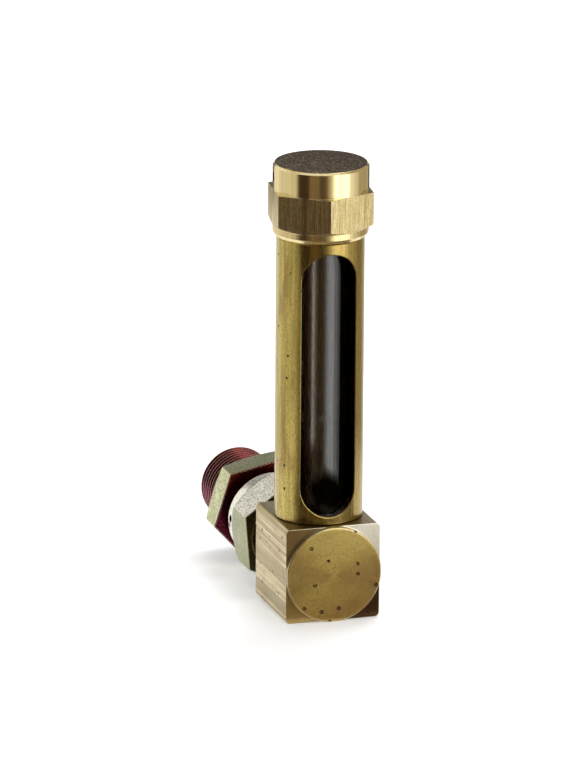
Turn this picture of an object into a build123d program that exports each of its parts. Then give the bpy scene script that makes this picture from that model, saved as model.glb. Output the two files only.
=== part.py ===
from build123d import *

import os
from math import cos, radians, sin, sqrt, tan

# Column level gauge for a hydraulic tank, in millimetres. The column stands
# on +Z with its axis at X = Y = 0. The block's underside lies on Z = 0, the
# window faces -Y, and the pipe union runs out to +Y.

# ---------------------------------------------------------------- block
bar_size = 25.4  # square bar that the block is cut from
bar_corner = 1.2  # radius along the bar's four long edges
front_reach = 12.7  # column axis to the turned-back front corners
rear_reach = 13.4  # column axis to the rear face
boss_d = 25.6  # turned front end, where the bar's flats leave room for it
boss_height = 1.4
boss_edge = 0.3
passage_d = 8.0  # level passage through the bar
passage_past = 4.0  # how far the drill goes past the column axis
riser_d = 7.0  # upright passage into the glass
drill_angle = 118.0

# ---------------------------------------------------------------- column
tube_d = 22.96
tube_bore = 16.7
tube_length = 75.3  # block's top to the shoulder under the cap
spigot_d = 20.0  # both turned-down ends
foot_depth = 5.6  # lower spigot, below the block's top
head_length = 8.4  # upper spigot, above the shoulder
shoulder_edge = 0.25
window_width = 14.4
window_sill = 2.1  # wall left below the window
window_lintel = 2.9  # wall left above it
window_turn = -3.0  # degrees about +Z, window's middle from -Y
window_edge = 0.25

# ---------------------------------------------------------------- glass
glass_d = 15.9
glass_bore = 11.0
gasket_height = 1.6
gasket_bore = 9.6
gasket_play = 0.2  # radial, in the counterbores

# ---------------------------------------------------------------- cap
cap_gap = 0.25  # dark line between the cap and the tube's shoulder
cap_d = 25.0  # round head and skirt
cap_hex = 25.0  # across flats
cap_turn = 23.0  # degrees, one hex corner from +X
skirt_length = 3.55  # round part below the hex corners
hex_length = 8.5
crown_length = 6.85  # round head above the hex
cap_edge = 0.6
skirt_bevel = 0.45
skirt_bevel_height = 0.9
roof = 1.85  # metal left over the chamber
vent_d = 3.3
vent_drop = 3.55  # cap's top to the vent's middle
vent_turn = 170.0  # degrees from +X
chamfer_angle = 30.0  # of every turned hex corner, from the face

# ---------------------------------------------------------------- union
fit = 0.05  # radial, in screwed and sliding fits
stub_d = 20.6
stub_length = 18.0  # out of the block's rear face
stub_bore = 13.0
stub_edge = 0.9
relief_d = 18.2
relief_length = 2.5
seat_mouth_d = 17.0
seat_angle = 30.0  # of the cone, from the axis
seat_gap = 0.1  # along the axis, so that the nose can turn

nut_hex = 25.4
nut_turn = 4.8  # degrees, one hex corner from +Z towards -X
nut_edge = 0.2
nut_gap = 8.0  # stub left bare between the block and the nut
nut_hex_length = 10.0
nut_taper_length = 3.2  # flats run out on this taper
collar_d = 24.4
collar_length = 5.9
collar_edge = 1.0
thread_past = 1.7  # nut's thread goes past the stub's end

nose_d = 17.4
nose_mouth_d = 13.8
wire_size = 1.4  # square section
wire_inset = 2.7  # from the collar's end
wire_gap_angle = 16.0
wire_clearance = 0.04
wire_hole_turn = 85.5  # degrees from +Z towards -X
wire_hole_d = 2.0

adapter_hex = 25.6
adapter_turn = -17.5  # degrees, one hex corner from +Z towards -X
adapter_edge = 0.2
adapter_gap = 4.2  # nose left bare between the nut and the hex
adapter_hex_length = 8.6
adapter_bore = 12.5
pipe_d = 21.3  # thread crests at the hex end
pipe_neck_d = 18.6
pipe_neck_length = 1.6
pipe_length = 19.2  # from the hex to the thread's end
pipe_taper = 1 / 32  # change of radius for each unit of length
pipe_chamfer = 1.1

# ---------------------------------------------------------------- worked out
passage_z = bar_size / 2
boss_face = -front_reach - boss_height
tube_top = bar_size + tube_length
window_bottom = bar_size + window_sill
window_top = tube_top - window_lintel
seat_z = bar_size - foot_depth - gasket_height
gasket_d = spigot_d + 2 * fit - 2 * gasket_play
glass_bottom = seat_z + gasket_height
head_top = tube_top + head_length
cap_bottom = tube_top + cap_gap
cap_ceiling = head_top + gasket_height
skirt_top = cap_bottom + skirt_length
hex_top = skirt_top + hex_length
cap_top = hex_top + crown_length
chamber_top = cap_top - roof
vent_height = cap_top - vent_drop
window_middle = (window_bottom + window_top) / 2
window_height = window_top - window_bottom
stub_end = rear_reach + stub_length
nut_front = rear_reach + nut_gap
nut_taper_start = nut_front + nut_hex_length
nut_taper_end = nut_taper_start + nut_taper_length
nut_end = nut_taper_end + collar_length
thread_end = stub_end + thread_past
wire_y = nut_end - wire_inset
adapter_front = nut_end + adapter_gap
adapter_rear = adapter_front + adapter_hex_length
pipe_start = adapter_rear + pipe_neck_length
pipe_end = adapter_rear + pipe_length
groove_half = wire_size / 2 + wire_clearance
seat_slope = tan(radians(seat_angle))
seat_length = (seat_mouth_d - stub_bore) / 2 / seat_slope
union_axis = Axis((0, 0, passage_z), (0, 1, 0))
union_side = Plane(origin=(0, 0, passage_z), x_dir=(0, 1, 0), z_dir=(1, 0, 0))


def hex_radius(across_flats):
    """Distance from a hexagon's centre to its corners."""
    return across_flats / sqrt(3)


def corner_run(across_flats):
    """Length along the axis that a turned chamfer takes off the corners."""
    rise = hex_radius(across_flats) - across_flats / 2
    return rise * tan(radians(chamfer_angle))


def union_plane(y):
    """Plane across the union at y, with its normal towards the block."""
    return Plane(origin=(0, y, passage_z), x_dir=(1, 0, 0), z_dir=(0, -1, 0))


def hex_bar(across_flats, turn, start, end):
    """Hexagonal bar along the union, added to the part in hand."""
    with BuildSketch(union_plane(end)) as section:
        RegularPolygon(hex_radius(across_flats), 6, rotation=90 + turn)
    extrude(section.sketch, amount=end - start)


def turned(points, mode=Mode.ADD):
    """Solid of revolution about the union axis, from (y, radius) points."""
    with BuildSketch(union_side) as profile:
        with BuildLine():
            Polyline(*points, close=True)
        make_face()
    revolve(profile.sketch, axis=union_axis, mode=mode)


def wire_groove():
    """Square groove, half in the nut and half in the nose, cut from the part in hand."""
    turned([
        (wire_y - groove_half, nose_d / 2 - groove_half),
        (wire_y - groove_half, nose_d / 2 + groove_half),
        (wire_y + groove_half, nose_d / 2 + groove_half),
        (wire_y + groove_half, nose_d / 2 - groove_half),
    ], Mode.SUBTRACT)


# ------------------------------------------------------------ elbow_block
# Square bar turned in the lathe. The front is turned to a circle, a little
# wider than the bar's flats, which leaves the four corners set back. The
# back is a threaded stub with a cone seat. The column's counterbore and
# riser come in from above.
with BuildPart() as elbow_block:
    with BuildSketch(union_plane(rear_reach)):
        RectangleRounded(bar_size, bar_size, bar_corner)
    extrude(amount=rear_reach - boss_face)
    turned([
        (boss_face, 0),
        (boss_face, boss_d / 2 - boss_edge),
        (boss_face + boss_edge, boss_d / 2),
        (-front_reach, boss_d / 2),
        (-front_reach, bar_size),
        (rear_reach, bar_size),
        (rear_reach, 0),
    ], Mode.INTERSECT)
    turned([
        (0, 0),
        (0, relief_d / 2),
        (rear_reach + relief_length, relief_d / 2),
        (rear_reach + relief_length, stub_d / 2),
        (stub_end - stub_edge, stub_d / 2),
        (stub_end, stub_d / 2 - stub_edge),
        (stub_end, 0),
    ])
    drill_point = passage_d / 2 / tan(radians(drill_angle / 2))
    turned([
        (-passage_past - drill_point, 0),
        (-passage_past, passage_d / 2),
        (rear_reach, passage_d / 2),
        (rear_reach, stub_bore / 2),
        (stub_end - seat_length, stub_bore / 2),
        (stub_end, seat_mouth_d / 2),
        (stub_end, 0),
    ], Mode.SUBTRACT)
    with BuildSketch(Plane.XY.offset(bar_size)):
        Circle(spigot_d / 2 + fit)
    extrude(amount=seat_z - bar_size, mode=Mode.SUBTRACT)
    with BuildSketch(Plane.XY.offset(seat_z)):
        Circle(riser_d / 2)
    extrude(amount=passage_z - seat_z, mode=Mode.SUBTRACT)
elbow_block.part.label = "elbow_block"

# ------------------------------------------------------------ column_tube
# Thick tube, turned down at both ends to screw into the block and the
# cap. One long window with round ends is milled through its front wall.
with BuildPart() as column_tube:
    with BuildSketch(Plane.XY.offset(glass_bottom)):
        Circle(spigot_d / 2)
    extrude(amount=head_top - glass_bottom)
    with BuildSketch(Plane.XY.offset(bar_size)):
        Circle(tube_d / 2)
    extrude(amount=tube_top - bar_size)
    shoulders = column_tube.edges().filter_by(GeomType.CIRCLE).group_by(SortBy.RADIUS)[-1]
    chamfer(shoulders, shoulder_edge)
    with BuildSketch(Plane.XY.offset(glass_bottom)):
        Circle(tube_bore / 2)
    extrude(amount=head_top - glass_bottom, mode=Mode.SUBTRACT)
    window_plane = Plane(
        origin=(0, 0, window_middle),
        x_dir=(cos(radians(window_turn)), sin(radians(window_turn)), 0),
        z_dir=(sin(radians(window_turn)), -cos(radians(window_turn)), 0),
    )
    with BuildSketch(window_plane):
        SlotOverall(window_height, window_width, rotation=90)
    extrude(amount=tube_d, mode=Mode.SUBTRACT)
    outer_wall = column_tube.faces().filter_by(GeomType.CYLINDER).sort_by(SortBy.RADIUS)[-1]
    chamfer(outer_wall.inner_wires()[0].edges(), window_edge)
column_tube.part.label = "column_tube"

# ------------------------------------------------------------ gauge_glass
with BuildPart() as gauge_glass:
    with BuildSketch(Plane.XY.offset(glass_bottom)):
        Circle(glass_d / 2)
        Circle(glass_bore / 2, mode=Mode.SUBTRACT)
    extrude(amount=head_top - glass_bottom)
gauge_glass.part.label = "gauge_glass"

# ------------------------------------------------------------ gaskets
# One flat ring under the glass and the tube's foot, one over their heads.
with BuildPart() as lower_gasket:
    with BuildSketch(Plane.XY.offset(seat_z)):
        Circle(gasket_d / 2)
        Circle(gasket_bore / 2, mode=Mode.SUBTRACT)
    extrude(amount=gasket_height)
lower_gasket.part.label = "lower_gasket"

with BuildPart() as upper_gasket:
    with BuildSketch(Plane.XY.offset(head_top)):
        Circle(gasket_d / 2)
        Circle(gasket_bore / 2, mode=Mode.SUBTRACT)
    extrude(amount=gasket_height)
upper_gasket.part.label = "upper_gasket"

# ------------------------------------------------------------ vent_cap
# Hex bar turned round above and below the spanner flats, bored out for
# the tube's head, with a closed chamber over the glass and one vent.
with BuildPart() as vent_cap:
    with BuildSketch(Plane.XY.offset(cap_bottom)):
        RegularPolygon(hex_radius(cap_hex), 6, rotation=cap_turn)
    extrude(amount=hex_top - cap_bottom)
    with BuildSketch(Plane.XZ):
        with BuildLine():
            Polyline(
                (0, cap_bottom),
                (cap_d / 2 - skirt_bevel, cap_bottom),
                (cap_d / 2, cap_bottom + skirt_bevel_height),
                (cap_d / 2, skirt_top - corner_run(cap_hex)),
                (hex_radius(cap_hex), skirt_top),
                (hex_radius(cap_hex), hex_top),
                (0, hex_top),
                close=True,
            )
        make_face()
    revolve(axis=Axis.Z, mode=Mode.INTERSECT)
    with BuildSketch(Plane.XY.offset(hex_top)):
        Circle(cap_d / 2)
    extrude(amount=cap_top - hex_top)
    chamfer(vent_cap.faces().sort_by(Axis.Z)[-1].edges(), cap_edge)
    with BuildSketch(Plane.XY.offset(cap_bottom)):
        Circle(spigot_d / 2 + fit)
    extrude(amount=cap_ceiling - cap_bottom, mode=Mode.SUBTRACT)
    with BuildSketch(Plane.XY.offset(cap_ceiling)):
        Circle(glass_bore / 2)
    extrude(amount=chamber_top - cap_ceiling, mode=Mode.SUBTRACT)
    vent_plane = Plane(
        origin=(0, 0, vent_height),
        z_dir=(cos(radians(vent_turn)), sin(radians(vent_turn)), 0),
    )
    with BuildSketch(vent_plane):
        Circle(vent_d / 2)
    extrude(amount=cap_d, mode=Mode.SUBTRACT)
vent_cap.part.label = "vent_cap"

# ------------------------------------------------------------ swivel_nut
# Hex sawn square at the front, flats that run out on a taper, and a round
# collar that carries half of the wire groove and its entry hole.
with BuildPart() as swivel_nut:
    hex_bar(nut_hex, nut_turn, nut_front, nut_end)
    turned([
        (nut_front, 0),
        (nut_front, hex_radius(nut_hex)),
        (nut_taper_start, hex_radius(nut_hex)),
        (nut_taper_end, nut_hex / 2),
        (nut_taper_end + nut_hex / 2 - collar_d / 2, collar_d / 2),
        (nut_end, collar_d / 2),
        (nut_end, 0),
    ], Mode.INTERSECT)
    chamfer(swivel_nut.faces().sort_by(Axis.Y)[0].edges(), nut_edge)
    fillet(swivel_nut.edges().group_by(Axis.Y)[-1], collar_edge)
    turned([
        (nut_front, 0),
        (nut_front, stub_d / 2 + fit + stub_edge),
        (nut_front + stub_edge, stub_d / 2 + fit),
        (thread_end, stub_d / 2 + fit),
        (thread_end, nose_d / 2 + fit),
        (nut_end, nose_d / 2 + fit),
        (nut_end, 0),
    ], Mode.SUBTRACT)
    wire_groove()
    hole_plane = Plane(
        origin=(0, wire_y, passage_z),
        z_dir=(-sin(radians(wire_hole_turn)), 0, cos(radians(wire_hole_turn))),
    )
    with BuildSketch(hole_plane):
        Circle(wire_hole_d / 2)
    extrude(amount=collar_d, mode=Mode.SUBTRACT)
swivel_nut.part.label = "swivel_nut"

# ------------------------------------------------------------ pipe_adapter
# Coned nose that the nut draws into the stub's seat, spanner hex, and a
# male taper pipe thread, shown here as the cone through its crests.
nose_tip = stub_end - (seat_mouth_d - nose_mouth_d) / 2 / seat_slope + seat_gap
nose_cone_end = nose_tip + (nose_d - nose_mouth_d) / 2 / seat_slope
pipe_end_r = pipe_d / 2 - (pipe_end - adapter_rear) * pipe_taper
with BuildPart() as pipe_adapter:
    hex_bar(adapter_hex, adapter_turn, adapter_front, adapter_rear)
    turned([
        (adapter_front, 0),
        (adapter_front, hex_radius(adapter_hex)),
        (adapter_rear - corner_run(adapter_hex), hex_radius(adapter_hex)),
        (adapter_rear, adapter_hex / 2),
        (adapter_rear, 0),
    ], Mode.INTERSECT)
    chamfer(pipe_adapter.faces().sort_by(Axis.Y)[0].edges(), adapter_edge)
    turned([
        (nose_tip, 0),
        (nose_tip, nose_mouth_d / 2),
        (nose_cone_end, nose_d / 2),
        (adapter_front, nose_d / 2),
        (adapter_front, 0),
    ])
    turned([
        (adapter_rear, 0),
        (adapter_rear, pipe_neck_d / 2),
        (pipe_start, pipe_neck_d / 2),
        (pipe_start, pipe_d / 2 - pipe_neck_length * pipe_taper),
        (pipe_end - pipe_chamfer, pipe_end_r + pipe_chamfer * pipe_taper),
        (pipe_end, pipe_end_r - pipe_chamfer),
        (pipe_end, 0),
    ])
    turned([
        (nose_tip, 0),
        (nose_tip, adapter_bore / 2),
        (pipe_end, adapter_bore / 2),
        (pipe_end, 0),
    ], Mode.SUBTRACT)
    wire_groove()
pipe_adapter.part.label = "pipe_adapter"

# ------------------------------------------------------------ retaining_wire
# Square wire fed through the collar's hole, half in the nut and half in
# the nose, with its ends either side of the hole.
wire_start_turn = radians(wire_hole_turn - wire_gap_angle / 2)
wire_end_plane = Plane(
    origin=(0, wire_y, passage_z),
    x_dir=(-sin(wire_start_turn), 0, cos(wire_start_turn)),
    z_dir=(cos(wire_start_turn), 0, sin(wire_start_turn)),
)
with BuildPart() as retaining_wire:
    with BuildSketch(wire_end_plane):
        with Locations((nose_d / 2, 0)):
            Rectangle(wire_size, wire_size)
    revolve(axis=union_axis, revolution_arc=360 - wire_gap_angle)
retaining_wire.part.label = "retaining_wire"

# ------------------------------------------------------------ written out
os.makedirs("parts", exist_ok=True)
export_step(elbow_block.part, "parts/elbow_block.step")
export_step(column_tube.part, "parts/column_tube.step")
export_step(gauge_glass.part, "parts/gauge_glass.step")
export_step(lower_gasket.part, "parts/lower_gasket.step")
export_step(upper_gasket.part, "parts/upper_gasket.step")
export_step(vent_cap.part, "parts/vent_cap.step")
export_step(swivel_nut.part, "parts/swivel_nut.step")
export_step(pipe_adapter.part, "parts/pipe_adapter.step")
export_step(retaining_wire.part, "parts/retaining_wire.step")
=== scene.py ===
# %% [markdown]
# # A brass column level gauge, dressed in Blender
#
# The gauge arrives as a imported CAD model: every rigid piece already has its
# true size and place. This lesson adds what the CAD model leaves out, which
# is the screw threads and the finish of every surface, and then sets the
# gauge in a small studio.

# %% Load the frame
from math import ceil, cos, degrees, hypot, pi, radians, sin

import bmesh
import bpy
from mathutils import Matrix, Vector


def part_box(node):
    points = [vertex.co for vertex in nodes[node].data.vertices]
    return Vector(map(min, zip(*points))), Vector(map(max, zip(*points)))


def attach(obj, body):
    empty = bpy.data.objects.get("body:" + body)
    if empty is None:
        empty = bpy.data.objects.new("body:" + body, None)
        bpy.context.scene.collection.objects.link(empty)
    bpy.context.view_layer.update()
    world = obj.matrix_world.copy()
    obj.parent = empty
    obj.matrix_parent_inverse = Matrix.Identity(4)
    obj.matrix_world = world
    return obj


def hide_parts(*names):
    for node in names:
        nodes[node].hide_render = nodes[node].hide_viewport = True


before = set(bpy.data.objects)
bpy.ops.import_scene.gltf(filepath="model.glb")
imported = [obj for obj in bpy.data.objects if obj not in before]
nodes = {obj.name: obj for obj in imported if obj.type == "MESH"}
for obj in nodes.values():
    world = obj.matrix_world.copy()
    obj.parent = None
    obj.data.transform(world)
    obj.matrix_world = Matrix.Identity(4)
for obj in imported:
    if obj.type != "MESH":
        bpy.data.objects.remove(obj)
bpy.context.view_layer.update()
print("CAD nodes:", ", ".join(sorted(nodes)))

# %% [markdown]
# ## The camera
#
# Long lenses flatten a product shot, and this one is taken from more than two
# metres away. The camera is placed by its angles round the gauge, then moved
# sideways so that the gauge sits right of the middle. Moving the camera is
# better than shifting the lens, because other views then stay simple.

# %% Place the camera
MM = 0.001
AZIMUTH = radians(-17.71)
ELEVATION = radians(16.21)
ROLL = radians(0.41)
DISTANCE = 2.127
MID_HEIGHT = 0.060
SIDESTEP = -0.0081
LIFT = 0.0003
LENS = 385

back = Vector((sin(AZIMUTH) * cos(ELEVATION), -cos(AZIMUTH) * cos(ELEVATION), sin(ELEVATION)))
level = Vector((cos(AZIMUTH), sin(AZIMUTH), 0))
upright = back.cross(level)
right = level * cos(ROLL) + upright * sin(ROLL)
up = upright * cos(ROLL) - level * sin(ROLL)

camera_data = bpy.data.cameras.new("studio_camera")
camera_data.lens = LENS
camera_data.sensor_width = 36
camera_data.clip_end = 20
camera = bpy.data.objects.new("studio_camera", camera_data)
turn = Matrix((right, up, back)).transposed().to_4x4()
stand = Vector((0, 0, MID_HEIGHT)) + back * DISTANCE + right * SIDESTEP + up * LIFT
camera.matrix_world = Matrix.Translation(stand) @ turn
bpy.context.scene.collection.objects.link(camera)
bpy.context.scene.camera = camera
bpy.context.scene.view_settings.view_transform = "Standard"
print("Camera at, m:", [round(c, 3) for c in stand])

# %% [markdown]
# ## Where the pieces are
#
# Every later step needs a few places on the gauge. They come from the boxes
# of the CAD pieces, so that they follow the model if it is ever resized.

# %% Measure the pieces
block_low, block_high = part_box("elbow_block")
column_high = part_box("column_tube")[1]
cap_low, cap_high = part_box("vent_cap")
nut_low, nut_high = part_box("swivel_nut")
adapter_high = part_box("pipe_adapter")[1]
UNION_Z = block_high.z / 2
COLUMN_R = column_high.x
print("Union height, mm:", round(UNION_Z / MM, 2), " column radius, mm:", round(COLUMN_R / MM, 2))

# %% [markdown]
# ## Screw threads
#
# A thread is one groove wound round a rod. It could be faked with a bump, but
# its teeth show at the rod's edge, so it is modelled. The outline of a single
# tooth is spun round the union's axis while it creeps forward by one pitch
# for each turn. Where one turn ends, the next begins at the same vertices,
# so merging doubles joins them into one threaded wall. Two flat cuts trim it
# to length, and a plain bore goes inside. A known fault: fill_ends gives both
# ends to triangle_fill in one call, and it joins them along the bore instead
# of closing each ring-shaped end. The ends stay open and the bore has some
# faces twice. One call for each end, with its own edges, should mend it.

# %% Helpers for meshes
SHARP = radians(32)


def shade(bm):
    """Smooth shading, with creases where faces meet at more than SHARP."""
    for face in bm.faces:
        face.smooth = True
    for edge in bm.edges:
        edge.smooth = len(edge.link_faces) == 2 and edge.calc_face_angle(0) < SHARP


def new_piece(name, bm):
    """Turn a bmesh into an object of the scene and free it."""
    mesh = bpy.data.meshes.new(name)
    bm.to_mesh(mesh)
    bm.free()
    piece = bpy.data.objects.new(name, mesh)
    bpy.context.scene.collection.objects.link(piece)
    print(f"{name}: {len(mesh.polygons)} faces")
    return piece


def fill_ends(bm):
    """Fill the open edges of a bmesh; it closes cleanly where they lie in one plane."""
    open_edges = [edge for edge in bm.edges if edge.is_boundary]
    bmesh.ops.triangle_fill(bm, edges=open_edges, use_beauty=True)


# %% The tooth and the threaded wall
PITCH = 1.814 * MM  # fourteen threads to the inch
TOOTH_DEPTH = 0.64 * PITCH
STEPS_PER_TURN = 72
MERGE_DISTANCE = 0.001 * MM
CUT_MARGIN = 0.0005 * MM
THINNEST_WALL = 0.5 * MM
TOOTH = ((0.00, 0), (0.07, 0), (0.45, 1), (0.55, 1), (0.93, 0), (1.00, 0))
print("Pitch, mm:", round(PITCH / MM, 3), " tooth depth, mm:", round(TOOTH_DEPTH / MM, 3))


def thread_sleeve(bm, start, stop, crest_r, bore_r, taper=0.0, chamfer=0.0):
    """Add a threaded sleeve along the union, from y = start to stop."""
    turns = ceil((stop - start) / PITCH) + 2
    wall = bmesh.new()
    outline = []
    for along, height in TOOTH:
        radius = crest_r - (1 - height) * TOOTH_DEPTH
        outline.append(wall.verts.new((0, start + (along - 1.5) * PITCH, UNION_Z + radius)))
    edges = [wall.edges.new(pair) for pair in zip(outline, outline[1:])]
    bmesh.ops.spin(
        wall,
        geom=outline + edges,
        cent=(0, 0, UNION_Z),
        axis=(0, 1, 0),
        dvec=(0, PITCH / STEPS_PER_TURN, 0),
        angle=2 * pi * turns,
        steps=STEPS_PER_TURN * turns,
        use_merge=False,
    )
    bmesh.ops.remove_doubles(wall, verts=wall.verts, dist=2 * MERGE_DISTANCE)
    for vert in wall.verts:
        radius = hypot(vert.co.x, vert.co.z - UNION_Z)
        smaller = radius - max(0, vert.co.y - start) * taper
        if chamfer:
            bevel_r = crest_r - taper * (stop - start) - chamfer + (stop - vert.co.y)
            smaller = min(smaller, max(bevel_r, bore_r + THINNEST_WALL))
        share = smaller / radius
        vert.co.x *= share
        vert.co.z = UNION_Z + (vert.co.z - UNION_Z) * share
    for y, side in ((start, -1), (stop, 1)):
        bmesh.ops.bisect_plane(
            wall,
            geom=wall.verts[:] + wall.edges[:] + wall.faces[:],
            dist=CUT_MARGIN,
            plane_co=(0, y, 0),
            plane_no=(0, side, 0),
            clear_outer=True,
        )
    middle = Matrix.Translation((0, (start + stop) / 2, UNION_Z))
    lying = middle @ Matrix.Rotation(radians(90), 4, "X")
    bmesh.ops.create_cone(
        wall,
        cap_ends=False,
        segments=STEPS_PER_TURN,
        radius1=bore_r,
        radius2=bore_r,
        depth=stop - start,
        matrix=lying,
    )
    fill_ends(wall)
    bmesh.ops.recalc_face_normals(wall, faces=wall.faces)
    shade(wall)
    wall_mesh = bpy.data.meshes.new("thread_wall")
    wall.to_mesh(wall_mesh)
    wall.free()
    bm.from_mesh(wall_mesh)
    bpy.data.meshes.remove(wall_mesh)


# %% Helpers for copies of CAD pieces
def cad_copy(node):
    """A merged copy of a CAD node's mesh, as a bmesh."""
    bm = bmesh.new()
    bm.from_mesh(nodes[node].data)
    bmesh.ops.remove_doubles(bm, verts=bm.verts, dist=MERGE_DISTANCE)
    return bm


def cut_away(bm, start, stop):
    """Remove what lies between two planes across the union, and fill the cuts."""
    for y in (start, stop):
        geom = bm.verts[:] + bm.edges[:] + bm.faces[:]
        bmesh.ops.bisect_plane(bm, geom=geom, dist=CUT_MARGIN, plane_co=(0, y, 0), plane_no=(0, 1, 0))
    inside = [face for face in bm.faces if start < face.calc_center_median().y < stop]
    bmesh.ops.delete(bm, geom=inside, context="FACES")
    fill_ends(bm)


# %% [markdown]
# The adapter's pipe thread tapers, as pipe threads do, and is turned down at
# the end so that it starts easily. The CAD adapter shows it as a smooth cone
# through the crests. That cone is cut off a copy of the CAD piece, and the
# threaded sleeve takes its place.

# %% Thread the pipe adapter
PIPE_LENGTH = 19.2 * MM
PIPE_NECK = 1.6 * MM
PIPE_R = 10.65 * MM
PIPE_BORE_R = 6.25 * MM
PIPE_TAPER = 1 / 32
PIPE_CHAMFER = 1.1 * MM
OVERLAP = 0.02 * MM
pipe_start = adapter_high.y - PIPE_LENGTH + PIPE_NECK

adapter_bm = cad_copy("pipe_adapter")
cut_away(adapter_bm, pipe_start - OVERLAP, adapter_high.y + MM)
bmesh.ops.recalc_face_normals(adapter_bm, faces=adapter_bm.faces)
shade(adapter_bm)
crest_at_start = PIPE_R - PIPE_NECK * PIPE_TAPER
sleeve_start = pipe_start - 2 * OVERLAP
thread_sleeve(adapter_bm, sleeve_start, adapter_high.y, crest_at_start, PIPE_BORE_R, PIPE_TAPER, PIPE_CHAMFER)
adapter = new_piece("pipe_adapter_threaded", adapter_bm)
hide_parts("pipe_adapter")
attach(adapter, "adapter")

# %% [markdown]
# The block's stub carries a parallel thread for the nut. Only its first few
# turns show between the block and the nut, so only that stretch is replaced,
# and the rest of the stub stays as the CAD piece has it.

# %% Thread the block's stub
STUB_LENGTH = 18 * MM
RELIEF_LENGTH = 2.5 * MM
STUB_R = 10.3 * MM
STUB_BORE_R = 6.5 * MM
HIDDEN_IN_NUT = 1.2 * MM
thread_start = block_high.y - STUB_LENGTH + RELIEF_LENGTH
thread_stop = nut_low.y + HIDDEN_IN_NUT

block_bm = cad_copy("elbow_block")
cut_away(block_bm, thread_start - OVERLAP, thread_stop + OVERLAP)
bmesh.ops.recalc_face_normals(block_bm, faces=block_bm.faces)
shade(block_bm)
thread_sleeve(block_bm, thread_start - 2 * OVERLAP, thread_stop + 2 * OVERLAP, STUB_R, STUB_BORE_R)
block = new_piece("elbow_block_threaded", block_bm)
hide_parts("elbow_block")
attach(block, "gauge")

# %% [markdown]
# ## The table and the studio
#
# The union's nut reaches a little below the block, so the gauge leans on the
# nut's lowest corner and the block's front edge. The table is a plane through
# those two places, and it is wide enough to have no edge in the picture.

# %% Build the table
TABLE_REACH = 3.0
BLOCK_FOOT = 12.7 * MM  # the block's underside reaches this far to the front
lean = -nut_low.z / (nut_low.y + BLOCK_FOOT)
print("Table slope, degrees:", round(degrees(lean), 2))


def table_height(y):
    """Height of the table at a place to the front or back."""
    return -lean * (y + BLOCK_FOOT)


table_bm = bmesh.new()
bmesh.ops.create_circle(table_bm, cap_ends=True, segments=96, radius=TABLE_REACH)
for vert in table_bm.verts:
    vert.co.z = table_height(vert.co.y)
table_bm.normal_update()
if table_bm.faces[:][0].normal.z < 0:
    bmesh.ops.reverse_faces(table_bm, faces=table_bm.faces)
table = new_piece("table", table_bm)

# %% [markdown]
# ## Building materials in code
#
# A material is a small network of nodes. Typing every link is slow to read,
# so helpers do it: add places a node with its inputs filled, a few more do
# one step of arithmetic or mixing each, and open_group starts a node group
# with named sockets. An effect that several finishes share is such a group,
# made once and set differently in each finish.

# %% Helpers for nodes
def add(tree, kind, inputs=None, **settings):
    """Add a node; each input is a value, or a socket to link from."""
    made = tree.nodes.new(kind)
    for name, value in settings.items():
        setattr(made, name, value)
    for name, value in (inputs or {}).items():
        if isinstance(value, bpy.types.NodeSocket):
            tree.links.new(value, made.inputs[name])
        else:
            made.inputs[name].default_value = value
    return made


def calc(tree, operation, first, second=0.0, clamp=False):
    """One step of arithmetic, as a socket."""
    return add(tree, "ShaderNodeMath", {0: first, 1: second}, operation=operation, use_clamp=clamp).outputs[0]


def times(tree, first, second):
    """The product of two values, as a socket."""
    return calc(tree, "MULTIPLY", first, second)


def inverse(tree, mask):
    """1 where a mask is 0 and 0 where it is 1, as a socket."""
    return calc(tree, "SUBTRACT", 1.0, mask)


def fade(tree, value, start, stop, low=0.0, high=1.0):
    """A socket that runs smoothly from low to high while value goes from start to stop."""
    inputs = {"Value": value, "From Min": start, "From Max": stop, "To Min": low, "To Max": high}
    return add(tree, "ShaderNodeMapRange", inputs, interpolation_type="SMOOTHSTEP").outputs["Result"]


def tint(tree, share, colour, other):
    """Mix two colours, as a socket: other where share is 1."""
    mixer = add(tree, "ShaderNodeMix", data_type="RGBA")
    for socket, value in (("Factor_Float", share), ("A_Color", colour), ("B_Color", other)):
        found = next(entry for entry in mixer.inputs if entry.identifier == socket)
        if isinstance(value, bpy.types.NodeSocket):
            tree.links.new(value, found)
        else:
            found.default_value = value
    return next(entry for entry in mixer.outputs if entry.identifier == "Result_Color")


def open_group(name, sockets_in, sockets_out):
    """A new node group with its input and output nodes."""
    group = bpy.data.node_groups.new(name, "ShaderNodeTree")
    for label, kind, start in sockets_in:
        socket = group.interface.new_socket(name=label, in_out="INPUT", socket_type="NodeSocket" + kind)
        socket.default_value = start
    for label, kind in sockets_out:
        group.interface.new_socket(name=label, in_out="OUTPUT", socket_type="NodeSocket" + kind)
    return group, group.nodes.new("NodeGroupInput"), group.nodes.new("NodeGroupOutput")


def use_group(tree, group, inputs):
    """Place a node group in a material."""
    return add(tree, "ShaderNodeGroup", inputs, node_tree=group)


# %% [markdown]
# ### Lines left by drawing
#
# Bar and tube are pulled through a die, which leaves fine lines along their
# length. Noise that is squeezed across the length and stretched along it
# looks just like that. Two sizes of noise are added, because real lines come
# both as hairlines and as broad shallow bands.

# %% The draw_lines group
def noise(tree, position, scale, detail, roughness=0.5):
    """Layered noise over a position, as a socket."""
    inputs = {"Vector": position, "Scale": scale, "Detail": detail, "Roughness": roughness}
    return add(tree, "ShaderNodeTexNoise", inputs).outputs["Fac"]


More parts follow.
